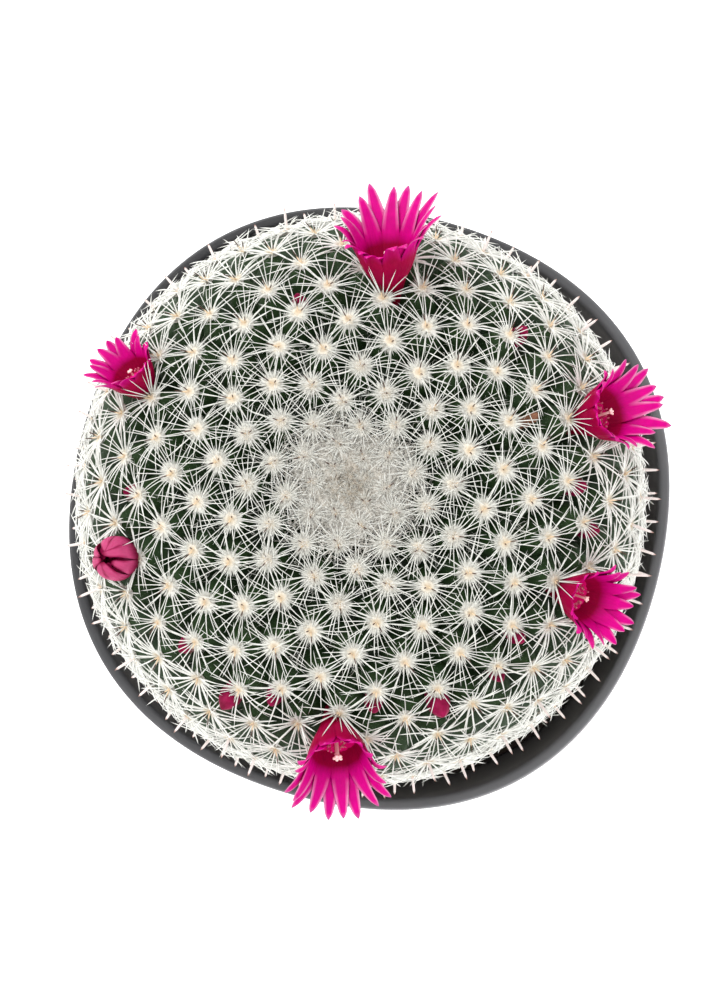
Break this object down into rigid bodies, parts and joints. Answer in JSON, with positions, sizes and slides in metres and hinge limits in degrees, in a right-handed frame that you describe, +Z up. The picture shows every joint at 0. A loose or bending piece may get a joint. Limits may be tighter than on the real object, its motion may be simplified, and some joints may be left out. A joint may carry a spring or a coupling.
{
  "type": "potted round cactus",
  "caption": "Round white-spined cactus in flower, growing in a plain dark round-cornered nursery pot filled with potting mix.",
  "frame": {"origin": "centre of the pot's foot, on the surface it stands on", "axes": "+Z up along the pot's axis; +X and +Y across the pot, at 30 degrees to the rim's rounded corners"},
  "size_m": [0.1046, 0.105, 0.1386],
  "materials": {
    "pot": "satin",
    "soil": "matte",
    "cactus": "matte",
    "flower": "satin",
    "pistil": "matte",
    "bud": "matte"
  },
  "bodies": {
    "root": {"pot": "pot", "soil": "soil", "cactus": "cactus", "flower_1": "flower", "flower_2": "flower", "flower_3": "flower", "flower_4": "flower", "flower_5": "flower", "flower_6": "flower", "pistil_1": "pistil", "pistil_2": "pistil", "pistil_3": "pistil", "pistil_4": "pistil", "pistil_5": "pistil", "bud_1": "bud", "bud_2": "bud", "bud_3": "bud", "bud_4": "bud", "bud_5": "bud", "bud_6": "bud", "bud_7": "bud", "bud_8": "bud", "bud_9": "bud", "bud_10": "bud", "bud_11": "bud", "bud_12": "bud"}
  },
  "joints": []
}
